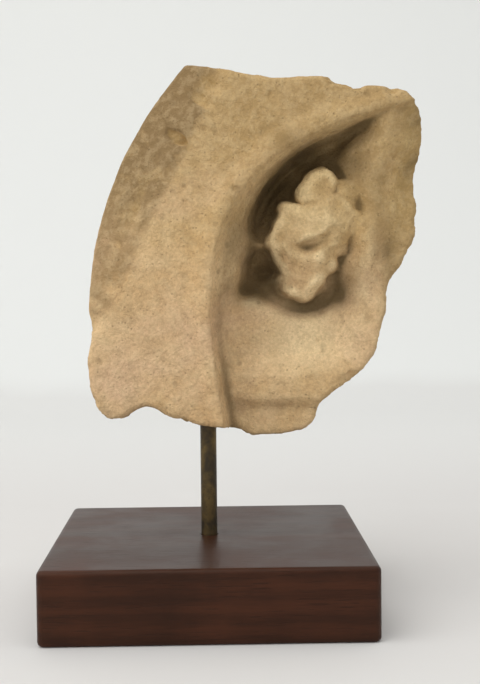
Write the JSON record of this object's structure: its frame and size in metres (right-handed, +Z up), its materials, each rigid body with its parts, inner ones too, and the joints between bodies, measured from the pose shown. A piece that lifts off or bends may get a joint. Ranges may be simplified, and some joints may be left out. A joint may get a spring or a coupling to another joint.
{
  "type": "ionic capital fragment",
  "caption": "Broken fragment of a carved stone Ionic capital volute, held by a thin bronze rod on a square dark wooden display block.",
  "frame": {"origin": "centre of the wooden block's underside, under the rod", "axes": "+Z up along the rod, the carved face looks along -Y, +X to the viewer's right"},
  "size_m": [0.135, 0.114, 0.1964],
  "materials": {
    "stone": "worn, matt",
    "bronze": "dark patina",
    "wood": "dark stain, satin"
  },
  "bodies": {
    "root": {"capital_fragment": "stone", "mount_rod": "bronze", "base_block": "wood"}
  },
  "joints": []
}
